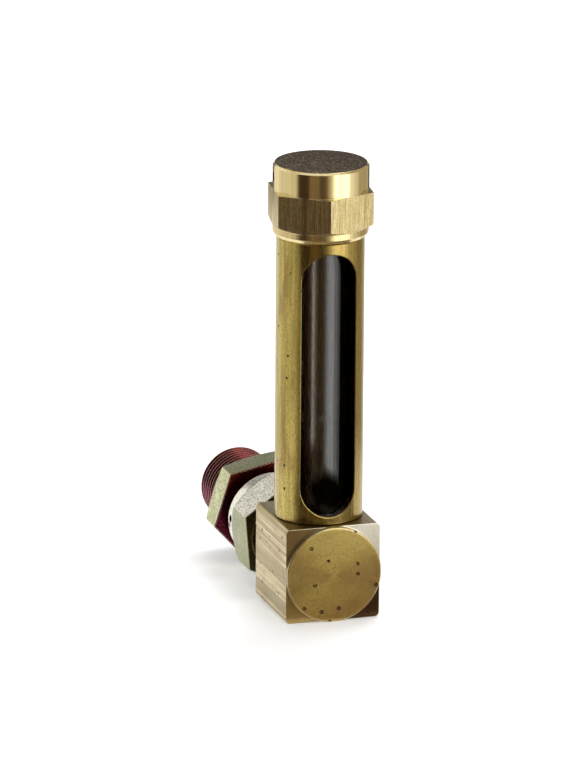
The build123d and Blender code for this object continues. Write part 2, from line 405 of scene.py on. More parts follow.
draw_lines, inside, outside = open_group(
    "draw_lines",
    [("Position", "Vector", (0, 0, 0)), ("Squeeze", "Vector", (1, 1, 1))],
    [("Fine", "Float"), ("Broad", "Float")],
)
squeeze = {0: inside.outputs["Position"], 1: inside.outputs["Squeeze"]}
squeezed = add(draw_lines, "ShaderNodeVectorMath", squeeze, operation="MULTIPLY").outputs[0]
draw_lines.links.new(noise(draw_lines, squeezed, 4.5, 3.0, 0.6), outside.inputs["Fine"])
draw_lines.links.new(noise(draw_lines, squeezed, 0.9, 2.0, 0.5), outside.inputs["Broad"])
print("draw_lines:", len(draw_lines.nodes), "nodes")

# %% [markdown]
# ### Stains and pits
#
# Brass that has been handled goes brown in clouds, and small pits fill with
# dark dirt. The clouds are layered noise with its middle stretched. The pits
# are the cells of a Voronoi pattern: a cell has a pit only if its own random
# number is below Share, so that they are scattered and not in rows.

# %% The stains group
stains, inside, outside = open_group(
    "stains",
    [("Position", "Vector", (0, 0, 0)), ("Size", "Float", 6.0), ("Cover", "Float", 0.5)],
    [("Mask", "Float")],
)
per_mm = calc(stains, "DIVIDE", 1.0, inside.outputs["Size"])
cloud_inputs = {"Vector": inside.outputs["Position"], "Scale": per_mm, "Detail": 7.0}
cloud = add(stains, "ShaderNodeTexNoise", {**cloud_inputs, "Roughness": 0.62, "Distortion": 0.4})
clear_share = inverse(stains, inside.outputs["Cover"])
threshold = calc(stains, "ADD", times(stains, clear_share, 0.4), 0.3)
risen = calc(stains, "SUBTRACT", cloud.outputs["Fac"], threshold)
stains.links.new(calc(stains, "MULTIPLY", risen, 5.0, clamp=True), outside.inputs["Mask"])
print("stains:", len(stains.nodes), "nodes")

# %% The pits group
pits, inside, outside = open_group(
    "pits",
    [
        ("Position", "Vector", (0, 0, 0)),
        ("Spacing", "Float", 3.0),
        ("Radius", "Float", 0.3),
        ("Share", "Float", 0.3),
    ],
    [("Mask", "Float"), ("Rim", "Float")],
)
per_mm = calc(pits, "DIVIDE", 1.0, inside.outputs["Spacing"])
scattered = {"Vector": inside.outputs["Position"], "Scale": per_mm, "Randomness": 1.0}
cells = add(pits, "ShaderNodeTexVoronoi", scattered)
chance = add(pits, "ShaderNodeSeparateColor", {"Color": cells.outputs["Color"]})
chosen = calc(pits, "GREATER_THAN", inside.outputs["Share"], chance.outputs["Red"])
from_middle = times(pits, cells.outputs["Distance"], inside.outputs["Spacing"])
own_share = fade(pits, chance.outputs["Green"], 0, 1, 0.35, 1.2)
own_radius = times(pits, inside.outputs["Radius"], own_share)
depth = calc(pits, "SUBTRACT", 1.0, calc(pits, "DIVIDE", from_middle, own_radius), clamp=True)
rim_band = times(pits, fade(pits, depth, 0.0, 0.1), fade(pits, depth, 0.3, 0.5, 1.0, 0.0))
pits.links.new(times(pits, fade(pits, depth, 0.0, 0.35), chosen), outside.inputs["Mask"])
pits.links.new(times(pits, rim_band, chosen), outside.inputs["Rim"])
print("pits:", len(pits.nodes), "nodes")

# %% [markdown]
# ### Marks left by the lathe
#
# A face turned in the lathe is a fine spiral of tool marks round its centre.
# Noise of one number only, the distance from the axis, gives rings that vary
# from one to the next. Both the union and the cap are turned, so the group
# takes a position that is already measured from the right axis.

# %% The lathe_rings group
lathe_rings, inside, outside = open_group(
    "lathe_rings",
    [("Across", "Vector", (0, 0, 0)), ("Pitch", "Float", 0.25)],
    [("Height", "Float"), ("Radius", "Float")],
)
measure = add(lathe_rings, "ShaderNodeVectorMath", {0: inside.outputs["Across"]}, operation="LENGTH")
radius = measure.outputs["Value"]
turns = calc(lathe_rings, "DIVIDE", radius, inside.outputs["Pitch"])
ring_inputs = {"W": turns, "Scale": 1.0, "Detail": 2.0}
ring_noise = add(lathe_rings, "ShaderNodeTexNoise", ring_inputs, noise_dimensions="1D")
lathe_rings.links.new(ring_noise.outputs["Fac"], outside.inputs["Height"])
lathe_rings.links.new(radius, outside.inputs["Radius"])
print("lathe_rings:", len(lathe_rings.nodes), "nodes")

# %% [markdown]
# ### Worn and highlit edges
#
# Edges are never perfectly sharp and they are the first to be rubbed bright.
# The finishes tint them both as rubbed brass and with a painted highlight.
# The Bevel node gives a surface direction that is rounded near an edge.
# Comparing it with the true direction tells how near the edge is, and the
# rounded direction itself makes the edge catch the light.

# %% The group for worn and highlit edges
worn_and_highlit_edges, inside, outside = open_group(
    "worn_and_highlit_edges", [("Radius", "Float", 0.2)], [("Mask", "Float"), ("Rounded", "Vector")]
)
metres = times(worn_and_highlit_edges, inside.outputs["Radius"], MM)
rounded = add(worn_and_highlit_edges, "ShaderNodeBevel", {"Radius": metres}, samples=4).outputs[0]
true_direction = add(worn_and_highlit_edges, "ShaderNodeNewGeometry").outputs["Normal"]
compare = add(worn_and_highlit_edges, "ShaderNodeVectorMath", {0: rounded, 1: true_direction}, operation="DOT_PRODUCT")
agree = compare.outputs["Value"]
worn_and_highlit_edges.links.new(fade(worn_and_highlit_edges, agree, 0.995, 0.93), outside.inputs["Mask"])
worn_and_highlit_edges.links.new(rounded, outside.inputs["Rounded"])
print("worn_and_highlit_edges:", len(worn_and_highlit_edges.nodes), "nodes")

# %% [markdown]
# ### Starting a finish
#
# Every finish starts in the same way, with one Principled shader and the
# place on the piece in millimetres, so that each size reads as a real one.
# Object coordinates are used, because they stay with a piece that turns.

# %% Helpers for finishes
def open_finish(name, **constants):
    """A new material; gives its tree, its shader, the position in millimetres and the facing."""
    finish = bpy.data.materials.new(name)
    finish.use_nodes = True
    tree = finish.node_tree
    shader = tree.nodes["Principled BSDF"]
    for label, value in constants.items():
        shader.inputs[label.replace("_", " ")].default_value = value
    place = add(tree, "ShaderNodeTexCoord")
    to_mm = {"Vector": place.outputs["Object"], "Scale": (1 / MM, 1 / MM, 1 / MM)}
    position = add(tree, "ShaderNodeMapping", to_mm, vector_type="POINT").outputs[0]
    axes = add(tree, "ShaderNodeSeparateXYZ", {"Vector": position}).outputs
    facing = add(tree, "ShaderNodeSeparateXYZ", {"Vector": place.outputs["Normal"]}).outputs
    return finish, tree, shader, position, axes, facing


def finish_with(tree, shader, colour, roughness, heights, normal=None):
    """Link a finish's colour, roughness and bumps; heights are (socket, strength, millimetres)."""
    tree.links.new(colour, shader.inputs["Base Color"])
    tree.links.new(roughness, shader.inputs["Roughness"])
    for height, strength, depth in heights:
        bump = add(tree, "ShaderNodeBump", {"Height": height, "Strength": strength, "Distance": depth * MM})
        if normal is not None:
            tree.links.new(normal, bump.inputs["Normal"])
        normal = bump.outputs["Normal"]
    tree.links.new(normal, shader.inputs["Normal"])


def dress(piece, finish):
    """Give a piece one finish in every slot, and say so."""
    if not piece.data.materials:
        piece.data.materials.append(finish)
    for slot in piece.material_slots:
        slot.link = "OBJECT"
        slot.material = finish
    print(f"{piece.name}: {finish.name}, {len(finish.node_tree.nodes)} nodes")


# %% Places that rings are measured from
def above_union(tree, axes):
    """Height over the union's axis, in millimetres."""
    return calc(tree, "SUBTRACT", axes["Z"], UNION_Z / MM)


def across_union(tree, axes):
    """The position seen along the union, measured from its axis, in millimetres."""
    return add(tree, "ShaderNodeCombineXYZ", {"X": axes["X"], "Z": above_union(tree, axes)}).outputs[0]


def across_column(tree, axes):
    """The position seen along the column, measured from its axis, in millimetres."""
    return add(tree, "ShaderNodeCombineXYZ", {"X": axes["X"], "Y": axes["Y"]}).outputs[0]


print("Union axis at z, mm:", round(UNION_Z / MM, 2))

# %% Colours that several finishes share
CLEAN_BRASS = (0.80, 0.66, 0.37, 1)
YELLOW_BRASS = (0.60, 0.46, 0.14, 1)
OLIVE_BRASS = (0.42, 0.34, 0.10, 1)
BROWN_STAIN = (0.24, 0.13, 0.04, 1)
DARK_DIRT = (0.035, 0.022, 0.012, 1)
print("Clean brass is", CLEAN_BRASS[:3], "and a brown stain is", BROWN_STAIN[:3])

# %% [markdown]
# ### The block
#
# The block is a piece of square bar. Its long faces keep the lines of the
# bar, which run to the back, and its front is turned, so it carries rings.
# The round boss stands proud, and the four corners round it are set back.
# Masks pick out these zones first, by where a place lies and how it faces,
# and each zone then gets its own colour.

# %% The block's patterns and zones
BOSS_Y = (block_low.y + 0.5 * MM) / MM
SET_BACK_Y = (block_low.y + 1.2 * MM) / MM

finish, tree, shader, position, axes, facing = open_finish("block_finish", Metallic=1.0)
lines = use_group(tree, draw_lines, {"Position": position, "Squeeze": (0.75, 0.006, 0.75)})
clouds = use_group(tree, stains, {"Position": position, "Size": 7.0, "Cover": 0.5})
spots = use_group(tree, pits, {"Position": position, "Spacing": 2.8, "Radius": 0.50, "Share": 0.9})
rings = use_group(tree, lathe_rings, {"Across": across_union(tree, axes), "Pitch": 0.3})
edges = use_group(tree, worn_and_highlit_edges, {"Radius": 0.3})
front = fade(tree, facing["Y"], -0.5, -0.8)
boss = times(tree, front, fade(tree, axes["Y"], SET_BACK_Y, BOSS_Y))
corners = calc(tree, "SUBTRACT", front, boss, clamp=True)
top = fade(tree, facing["Z"], 0.8, 0.97)
print("Boss face at y, mm:", round(BOSS_Y, 2), " set-back corners from y:", round(SET_BACK_Y, 2))

# %% The block's drawn sides
BAR_PALE = (0.70, 0.59, 0.35, 1)
BAR_BAND = (0.40, 0.32, 0.16, 1)
BAR_HAIRLINE = (0.36, 0.28, 0.14, 1)

side = tint(tree, fade(tree, lines.outputs["Broad"], 0.42, 0.58), BAR_PALE, BAR_BAND)
side = tint(tree, fade(tree, lines.outputs["Fine"], 0.45, 0.60, 0.0, 0.75), side, BAR_HAIRLINE)
print("Drawn bar runs from", BAR_PALE[:3], "to", BAR_HAIRLINE[:3])

# %% [markdown]
# The boss gets painted shade: it is brownest at its lower right and in two
# sectors level with its centre, where rings of the lathe would catch least
# light. A painted highlight marks the pip that the tool left in the middle.
# The corners get painted light and shade, each its own: brightest at the
# upper right and darkest at the lower right.

# %% The block's turned front
BOSS_LIT_UPPER_LEFT = (0.76, 0.60, 0.20, 1)
BOSS_SHADED_LOWER_RIGHT = (0.58, 0.41, 0.15, 1)
BOSS_SECTOR_SHADE = (0.34, 0.20, 0.09, 1)
CORNER_SHADE_LOWER_RIGHT = (0.08, 0.04, 0.02, 1)
CORNER_HIGHLIGHT_UPPER_RIGHT = (1.0, 0.97, 0.86, 1)
CORNER_SHADE_LOWER_LEFT = (0.46, 0.33, 0.13, 1)
CORNER_SHADE_UPPER_LEFT = (0.26, 0.18, 0.08, 1)

height = above_union(tree, axes)
rising = calc(tree, "SUBTRACT", height, times(tree, axes["X"], 0.5))
# painted shade: the boss is lit at the upper left and shaded towards the lower right
turned = tint(tree, fade(tree, rising, 3.0, -13.0), BOSS_LIT_UPPER_LEFT, BOSS_SHADED_LOWER_RIGHT)
turned = tint(tree, fade(tree, rings.outputs["Height"], 0.35, 0.7, 0.0, 0.22), turned, BROWN_STAIN)
# painted shade in two sectors level with the boss's centre
steepness = calc(tree, "ABSOLUTE", calc(tree, "DIVIDE", height, rings.outputs["Radius"]))
shaded_sectors = fade(tree, calc(tree, "POWER", steepness, 2.0), 0.45, 0.0, 0.0, 0.42)
turned = tint(tree, shaded_sectors, turned, BOSS_SECTOR_SHADE)
# painted highlight on the pip in the middle of the boss
pip_highlight = fade(tree, rings.outputs["Radius"], 1.0, 0.3)
turned = tint(tree, times(tree, pip_highlight, 0.4), turned, CLEAN_BRASS)
# painted light and shade on the set-back corners: a highlight at the upper right, shade in the other three
to_the_right = fade(tree, axes["X"], -3.0, 5.0)
upper = fade(tree, height, -3.0, 5.0)
right_corner_shading = tint(tree, upper, CORNER_SHADE_LOWER_RIGHT, CORNER_HIGHLIGHT_UPPER_RIGHT)
left_corner_shading = tint(tree, upper, CORNER_SHADE_LOWER_LEFT, CORNER_SHADE_UPPER_LEFT)
corner_light_and_shade = tint(tree, to_the_right, left_corner_shading, right_corner_shading)
print("Boss shades from", BOSS_LIT_UPPER_LEFT[:3], "down to", BOSS_SHADED_LOWER_RIGHT[:3])

# %% Put the block's finish together
BLOCK_TOP_SHADE = (0.18, 0.14, 0.05, 1)
RUBBED_EDGE_HIGHLIGHT = (0.95, 0.86, 0.62, 1)

colour = tint(tree, front, side, turned)
colour = tint(tree, corners, colour, corner_light_and_shade)
# painted shade darkens the block's top face
colour = tint(tree, times(tree, top, 0.75), colour, BLOCK_TOP_SHADE)
grime = noise(tree, position, 1.6, 5.0, 0.7)
specked = times(tree, fade(tree, grime, 0.5, 0.7, 0.0, 0.5), inverse(tree, corners))
clouded = calc(tree, "MAXIMUM", times(tree, clouds.outputs["Mask"], 0.4), specked)
colour = tint(tree, clouded, colour, BROWN_STAIN)
# rubbed wear and a painted highlight along the block's edges
colour = tint(tree, times(tree, edges.outputs["Mask"], 0.75), colour, RUBBED_EDGE_HIGHLIGHT)
colour = tint(tree, times(tree, spots.outputs["Mask"], 0.6), colour, DARK_DIRT)
colour = tint(tree, spots.outputs["Rim"], colour, DARK_DIRT)
roughness = fade(tree, lines.outputs["Fine"], 0.3, 0.7, 0.28, 0.42)
along = times(tree, lines.outputs["Fine"], inverse(tree, front))
ringed = times(tree, rings.outputs["Height"], front)
bumps = [(along, 0.35, 0.05), (ringed, 0.4, 0.05), (inverse(tree, spots.outputs["Mask"]), 0.8, 0.12)]
finish_with(tree, shader, colour, roughness, bumps, edges.outputs["Rounded"])
dress(block, finish)

# %% [markdown]
# ### The column
#
# The column is tube that has gone dull: khaki, with brown clouds that run
# down it and a few dark pits. A painted shade darkens its front left of the
# window. Inside, and on the milled walls of the window, it is painted nearly
# black as shade. Distance from the axis tells the two apart, and leaves the
# chamfer round the window bright. The two joints, under the cap and on the
# block, get thin painted shadow lines.

# %% Finish the column
GRIT_BROWN = (0.22, 0.17, 0.06, 1)
INSIDE_SHADE = (0.085, 0.05, 0.03, 1)
JOINT_SHADOW = (0.02, 0.012, 0.008, 1)
OUTER_R = COLUMN_R / MM
CAP_FOOT = cap_low.z / MM
BLOCK_TOP = block_high.z / MM

finish, tree, shader, position, axes, facing = open_finish("column_finish", Metallic=1.0)
rings = use_group(tree, lathe_rings, {"Across": across_column(tree, axes), "Pitch": 0.3})
lines = use_group(tree, draw_lines, {"Position": position, "Squeeze": (1.0, 1.0, 0.05)})
runs = add(tree, "ShaderNodeMapping", {"Vector": position, "Scale": (1.0, 1.0, 0.3)}).outputs[0]
clouds = use_group(tree, stains, {"Position": runs, "Size": 5.0, "Cover": 0.52})
spots = use_group(tree, pits, {"Position": position, "Spacing": 4.0, "Radius": 0.45, "Share": 0.6})
grit = noise(tree, position, 2.2, 4.0, 0.7)
outer = fade(tree, rings.outputs["Radius"], OUTER_R - 0.28, OUTER_R - 0.2)
# painted shade on the front, to the left of the window
shade_left_of_window = fade(tree, axes["X"], -9.3, -7.6, 0.0, 0.45)
shade_beside_window = times(tree, shade_left_of_window, fade(tree, axes["Y"], -3.0, -5.0))
stains_and_shade = calc(tree, "MAXIMUM", times(tree, clouds.outputs["Mask"], 0.7), shade_beside_window)
# painted shadow lines in the two joints, under the cap and on the block
shadow_under_cap = fade(tree, axes["Z"], CAP_FOOT - 0.4, CAP_FOOT - 0.15)
shadow_on_block = fade(tree, axes["Z"], BLOCK_TOP + 0.35, BLOCK_TOP + 0.1)
colour = tint(tree, fade(tree, lines.outputs["Broad"], 0.35, 0.65), YELLOW_BRASS, OLIVE_BRASS)
colour = tint(tree, stains_and_shade, colour, BROWN_STAIN)
colour = tint(tree, fade(tree, grit, 0.46, 0.64, 0.0, 0.65), colour, GRIT_BROWN)
colour = tint(tree, spots.outputs["Mask"], colour, DARK_DIRT)
# painted shade: the bore and the window's walls are painted nearly black
colour = tint(tree, outer, INSIDE_SHADE, colour)
colour = tint(tree, calc(tree, "MAXIMUM", shadow_under_cap, shadow_on_block), colour, JOINT_SHADOW)
roughness = fade(tree, lines.outputs["Fine"], 0.3, 0.7, 0.20, 0.32)
pitted = inverse(tree, spots.outputs["Mask"])
bumps = [(lines.outputs["Fine"], 0.25, 0.04), (grit, 0.2, 0.04), (pitted, 0.6, 0.1)]
finish_with(tree, shader, colour, roughness, bumps)
dress(nodes["column_tube"], finish)

# %% [markdown]
# ### The cap
#
# The cap is the brightest piece. Its round parts are turned smooth and
# mirror the studio in clear upright bands, its six flats keep the lines of
# the hexagonal bar, and its top is brown and peppered with bright specks.

# %% The cap's patterns and zones
CROWN_HEIGHT = 6.85 * MM
CROWN_FOOT = (cap_high.z - CROWN_HEIGHT) / MM
CAP_TOP = cap_high.z / MM
HEX_FROM_R = 12.45

finish, tree, shader, position, axes, facing = open_finish("cap_finish", Metallic=1.0)
lines = use_group(tree, draw_lines, {"Position": position, "Squeeze": (1.3, 1.3, 0.03)})
rings = use_group(tree, lathe_rings, {"Across": across_column(tree, axes), "Pitch": 0.3})
clouds = use_group(tree, stains, {"Position": position, "Size": 3.0, "Cover": 0.5})
edges = use_group(tree, worn_and_highlit_edges, {"Radius": 0.2})
specks = noise(tree, position, 1.5, 3.0, 0.7)
top = fade(tree, axes["Z"], CAP_TOP - 0.12, CAP_TOP - 0.04)
under_crown = fade(tree, axes["Z"], CROWN_FOOT, CROWN_FOOT - 0.1)
flats = times(tree, under_crown, fade(tree, rings.outputs["Radius"], HEX_FROM_R, HEX_FROM_R + 0.1))
print("Crown from z, mm:", round(CROWN_FOOT, 2), "to", round(CAP_TOP, 2))

# %% Finish the cap
TOP_BROWN = (0.25, 0.13, 0.05, 1)
TOP_RUBBED = (1.0, 0.78, 0.42, 1)
BRIGHT_SPECK = (1.0, 0.84, 0.62, 1)
CAP_EDGE_HIGHLIGHT = (0.92, 0.84, 0.62, 1)

rubbed = fade(tree, calc(tree, "ADD", axes["X"], axes["Y"]), 4.0, -9.0, 0.0, 1.0)
top_colour = tint(tree, times(tree, rubbed, clouds.outputs["Mask"]), TOP_BROWN, TOP_RUBBED)
top_colour = tint(tree, fade(tree, specks, 0.57, 0.60), top_colour, BRIGHT_SPECK)
hairlines = times(tree, fade(tree, lines.outputs["Fine"], 0.44, 0.6), flats)
mottle = times(tree, fade(tree, specks, 0.51, 0.58), flats)
colour = tint(tree, fade(tree, lines.outputs["Broad"], 0.4, 0.7, 0.0, 0.4), CLEAN_BRASS, YELLOW_BRASS)
colour = tint(tree, times(tree, hairlines, 0.6), colour, BROWN_STAIN)
colour = tint(tree, times(tree, mottle, 0.5), colour, OLIVE_BRASS)
colour = tint(tree, top, colour, top_colour)
# rubbed wear and a painted highlight along the cap's edges
colour = tint(tree, times(tree, edges.outputs["Mask"], 0.5), colour, CAP_EDGE_HIGHLIGHT)
rougher = calc(tree, "ADD", times(tree, flats, 0.18), times(tree, top, 0.05))
roughness = calc(tree, "ADD", rougher, 0.14)
lined = times(tree, lines.outputs["Fine"], flats)
speckled = times(tree, specks, calc(tree, "MAXIMUM", top, times(tree, flats, 0.4)))
bumps = [(lined, 0.5, 0.05), (speckled, 0.5, 0.06)]
finish_with(tree, shader, colour, roughness, bumps, edges.outputs["Rounded"])
dress(nodes["vent_cap"], finish)

# %% [markdown]
# ### The nut
#
# The nut is steel with a pale zinc plating. Plating is never quite even, so
# its colour drifts between cream and pale green, and its surface is finely
# grained. A light grain in the bump breaks up what it mirrors. The upper
# flats are painted pale as a highlight. The round collar is smoother, the
# seam before it is darker, and the end face gets a dark painted shade.

# %% Finish the nut
COLLAR_START = nut_high.y / MM - 5.9
PLATE_GREEN = (0.29, 0.31, 0.13, 1)
PLATE_CREAM = (0.44, 0.42, 0.27, 1)
UPPER_FLATS_HIGHLIGHT = (0.95, 0.92, 0.84, 1)
COLLAR_PLATE = (0.86, 0.83, 0.76, 1)
PLATE_FLECK = (0.28, 0.25, 0.15, 1)
SEAM_DARK = (0.16, 0.11, 0.06, 1)
END_FACE_SHADE = (0.06, 0.05, 0.025, 1)
NUT_EDGE_HIGHLIGHT = (0.88, 0.86, 0.74, 1)

finish, tree, shader, position, axes, facing = open_finish("nut_finish", Metallic=1.0)
clouds = use_group(tree, stains, {"Position": position, "Size": 4.0, "Cover": 0.5})
edges = use_group(tree, worn_and_highlit_edges, {"Radius": 0.25})
grain = noise(tree, position, 1.9, 4.0, 0.65)
collar = fade(tree, axes["Y"], COLLAR_START - 0.1, COLLAR_START + 0.1)
from_seam = calc(tree, "ABSOLUTE", calc(tree, "SUBTRACT", axes["Y"], COLLAR_START))
shaded_end_face = fade(tree, facing["Y"], -0.7, -0.9)
flecks = times(tree, fade(tree, grain, 0.46, 0.60, 0.0, 0.85), inverse(tree, times(tree, collar, 0.8)))
colour = tint(tree, clouds.outputs["Mask"], PLATE_GREEN, PLATE_CREAM)
# painted highlight: the upward-facing flats are painted pale
colour = tint(tree, fade(tree, facing["Z"], 0.3, 0.6), colour, UPPER_FLATS_HIGHLIGHT)
colour = tint(tree, collar, colour, COLLAR_PLATE)
colour = tint(tree, flecks, colour, PLATE_FLECK)
# darker along the seam before the collar
colour = tint(tree, fade(tree, from_seam, 0.55, 0.2, 0.0, 0.85), colour, SEAM_DARK)
# painted shade on the end face
colour = tint(tree, times(tree, shaded_end_face, 0.92), colour, END_FACE_SHADE)
# rubbed wear and a painted highlight along the nut's edges
colour = tint(tree, times(tree, edges.outputs["Mask"], 0.6), colour, NUT_EDGE_HIGHLIGHT)
roughness = calc(tree, "SUBTRACT", fade(tree, grain, 0.3, 0.7, 0.24, 0.42), times(tree, collar, 0.12))
rough_grain = times(tree, grain, inverse(tree, times(tree, collar, 0.85)))
finish_with(tree, shader, colour, roughness, [(rough_grain, 0.6, 0.12)], edges.outputs["Rounded"])
dress(nodes["swivel_nut"], finish)

# %% [markdown]
# ### The adapter
#
# The adapter is plated too, and its passivation shimmers: its flats look
# pale green, while its end faces, its nose and its thread look wine red,
# with a painted sheen that makes the top redder. Flats are found by their
# distance from the axis and by which way they face, and the upper flats get
# a painted shade. On the taper thread, how far a place lies below the crests
# tells the roots, painted dark as shade, from the crests, painted light as a
# highlight.

# %% The adapter's flats
FLAT_GREEN = (0.54, 0.55, 0.30, 1)
FLAT_CREAM = (0.78, 0.73, 0.52, 1)
UPPER_GREEN_SHADE = (0.17, 0.17, 0.07, 1)

finish, tree, shader, position, axes, facing = open_finish("adapter_finish", Metallic=1.0)
rings = use_group(tree, lathe_rings, {"Across": across_union(tree, axes), "Pitch": 0.4})
clouds = use_group(tree, stains, {"Position": position, "Size": 3.5, "Cover": 0.5})
edges = use_group(tree, worn_and_highlit_edges, {"Radius": 0.22})
grain = noise(tree, position, 2.0, 4.0, 0.6)
sideways = fade(tree, calc(tree, "ABSOLUTE", facing["Y"]), 0.6, 0.3)
flat = times(tree, fade(tree, rings.outputs["Radius"], 12.3, 12.5), sideways)
green = tint(tree, clouds.outputs["Mask"], FLAT_GREEN, FLAT_CREAM)
# painted shade on the upward-facing flats
green = tint(tree, fade(tree, facing["Z"], 0.3, 0.7, 0.0, 0.7), green, UPPER_GREEN_SHADE)
print("Adapter flats run from", FLAT_GREEN[:3], "to", FLAT_CREAM[:3])

# %% The adapter's thread and ends
WINE = (0.12, 0.012, 0.035, 1)
RED_WINE_TONE_AND_SHEEN = (0.14, 0.011, 0.011, 1)
THREAD_ROOT_SHADE = (0.05, 0.006, 0.012, 1)
THREAD_CREST_HIGHLIGHT = (0.52, 0.27, 0.27, 1)
ADAPTER_EDGE_HIGHLIGHT = (0.84, 0.80, 0.60, 1)

# redder in random clouds, and towards the top as a painted sheen
clouds_and_top_sheen = calc(tree, "MAXIMUM", fade(tree, axes["Z"], 14.0, 22.0), times(tree, clouds.outputs["Mask"], 0.6))
wine = tint(tree, clouds_and_top_sheen, WINE, RED_WINE_TONE_AND_SHEEN)
along_pipe = calc(tree, "SUBTRACT", axes["Y"], (adapter_high.y - PIPE_LENGTH) / MM)
crest_r = calc(tree, "SUBTRACT", PIPE_R / MM, times(tree, along_pipe, PIPE_TAPER))
below_crest = calc(tree, "SUBTRACT", crest_r, rings.outputs["Radius"])
threaded = fade(tree, along_pipe, 1.0, PIPE_NECK / MM)
# painted shade in the thread's roots
wine = tint(tree, times(tree, fade(tree, below_crest, 0.3, 0.9), threaded), wine, THREAD_ROOT_SHADE)
# painted highlight on the thread's crests
wine = tint(tree, times(tree, fade(tree, below_crest, 0.16, 0.04, 0.0, 0.45), threaded), wine, THREAD_CREST_HIGHLIGHT)
colour = tint(tree, flat, wine, green)
colour = tint(tree, fade(tree, grain, 0.48, 0.66, 0.0, 0.6), colour, DARK_DIRT)
# rubbed wear and a painted highlight along the adapter's outer edges
edge_light = times(tree, edges.outputs["Mask"], fade(tree, rings.outputs["Radius"], 11.0, 11.6, 0.15, 0.6))
colour = tint(tree, edge_light, colour, ADAPTER_EDGE_HIGHLIGHT)
roughness = fade(tree, grain, 0.3, 0.7, 0.20, 0.36)
finish_with(tree, shader, colour, roughness, [(grain, 0.35, 0.06)], edges.outputs["Rounded"])
dress(adapter, finish)

# %% [markdown]
# ### Glass, gaskets and wire
#
# The glass is a plain clear tube. It looks almost black because the bore
# behind it is. Faint upright smears change only its roughness. The gaskets
# are black rubber and the wire is bright spring steel, and both are grainy
# when seen near by, so one grain of noise does for each.

# %% Finish the glass
finish, tree, shader, position, axes, facing = open_finish(
    "glass_finish", Transmission_Weight=1.0, IOR=1.5, Base_Color=(0.93, 0.94, 0.92, 1)
)
lines = use_group(tree, draw_lines, {"Position": position, "Squeeze": (1.2, 1.2, 0.02)})
tree.links.new(fade(tree, lines.outputs["Broad"], 0.5, 0.75, 0.0, 0.05), shader.inputs["Roughness"])
dress(nodes["gauge_glass"], finish)


# %% Finish the gaskets and the wire
def grained(name, metallic, scale, dark, pale, smoothest, roughest, strength, depth):
    """A finish of one fine grain, between two shades and two roughnesses."""
    finish, tree, shader, position, axes, facing = open_finish(name, Metallic=metallic)
    grain = noise(tree, position, scale, 3.0)
    colour = tint(tree, grain, dark, pale)
    finish_with(tree, shader, colour, fade(tree, grain, 0, 1, smoothest, roughest), [(grain, strength, depth)])
    return finish


BLACK_RUBBER, GREY_RUBBER = (0.012, 0.012, 0.012, 1), (0.03, 0.03, 0.03, 1)
DULL_STEEL, BRIGHT_STEEL = (0.5, 0.5, 0.49, 1), (0.7, 0.7, 0.68, 1)
rubber = grained("gasket_finish", 0.0, 5.0, BLACK_RUBBER, GREY_RUBBER, 0.6, 0.8, 0.3, 0.03)
for name in ("lower_gasket", "upper_gasket"):
    dress(nodes[name], rubber)
steel = grained("wire_finish", 1.0, 4.0, DULL_STEEL, BRIGHT_STEEL, 0.2, 0.4, 0.2, 0.02)
dress(nodes["retaining_wire"], steel)

# %% [markdown]
# ## White table and white background
#
# The gauge stands on white, but it isn't flooded with light. The floor and
# the world show their white only to the rays that come from the camera, or
# reach it by a mirror or through glass. The floor adds that white to its own
# lit surface, so the shadow under the gauge stays. Farther off, where the
# lamps are weaker, it adds more, so that the table melts into the background.

# %% Finish the table
PAPER = (0.85, 0.85, 0.85, 1)
WHITE = (1, 1, 1, 1)
NEAR, FAR = 0.12, 0.40
LIFT_NEAR, LIFT_FAR = 0.34, 0.70


def seen_directly(tree):
    """1 for rays that show a background: from the camera, off a mirror or through glass."""
    rays = add(tree, "ShaderNodeLightPath").outputs
    seen = calc(tree, "MAXIMUM", rays["Is Camera Ray"], rays["Is Glossy Ray"])
    return calc(tree, "MAXIMUM", seen, rays["Is Transmission Ray"])


table_finish = bpy.data.materials.new("table_paper")
table_finish.use_nodes = True
tree = table_finish.node_tree
paper = tree.nodes["Principled BSDF"]
paper.inputs["Base Color"].default_value = PAPER
paper.inputs["Roughness"].default_value = 0.9
paper.inputs["Emission Color"].default_value = WHITE
spot = add(tree, "ShaderNodeTexCoord").outputs["Object"]
far_off = add(tree, "ShaderNodeVectorMath", {0: spot}, operation="LENGTH").outputs["Value"]
lift = fade(tree, far_off, NEAR, FAR, LIFT_NEAR, LIFT_FAR)
tree.links.new(times(tree, seen_directly(tree), lift), paper.inputs["Emission Strength"])
table.data.materials.append(table_finish)
print("Table lift:", LIFT_NEAR, "within", NEAR, "m, and", LIFT_FAR, "from", FAR, "m")

# %% Light the room
ROOM_LIGHT = 0.5

world = bpy.data.worlds.new("studio")
world.use_nodes = True
bpy.context.scene.world = world
tree = world.node_tree
backdrop = tree.nodes["Background"]
backdrop.inputs["Color"].default_value = WHITE
tree.links.new(calc(tree, "MAXIMUM", seen_directly(tree), ROOM_LIGHT), backdrop.inputs["Strength"])
print("Room light:", ROOM_LIGHT)

# %% [markdown]
# ## Cards round the gauge
#
# Polished metal looks like whatever stands round it, so in a studio it is
# surrounded with white, grey and black cards. Here the cards are one round
# wall and one sheet on the table, in front. They only show in mirrors and
# through glass: they cast no light and no shadow, and the camera looks
# straight past them. Their brightness changes with the direction, as a row
# of cards does, and they belong to the studio, not to the gauge.

# %% Helpers for cards
def mirror_only(card, glow):
    """Give a card its glow, and let nothing but mirrors and glass see it."""
    card.data.materials.append(glow)
    card.visible_camera = False
    card.visible_diffuse = False
    card.visible_shadow = False
    card.visible_volume_scatter = False
    print(f"{card.name}: glows with {len(glow.node_tree.nodes)} nodes")


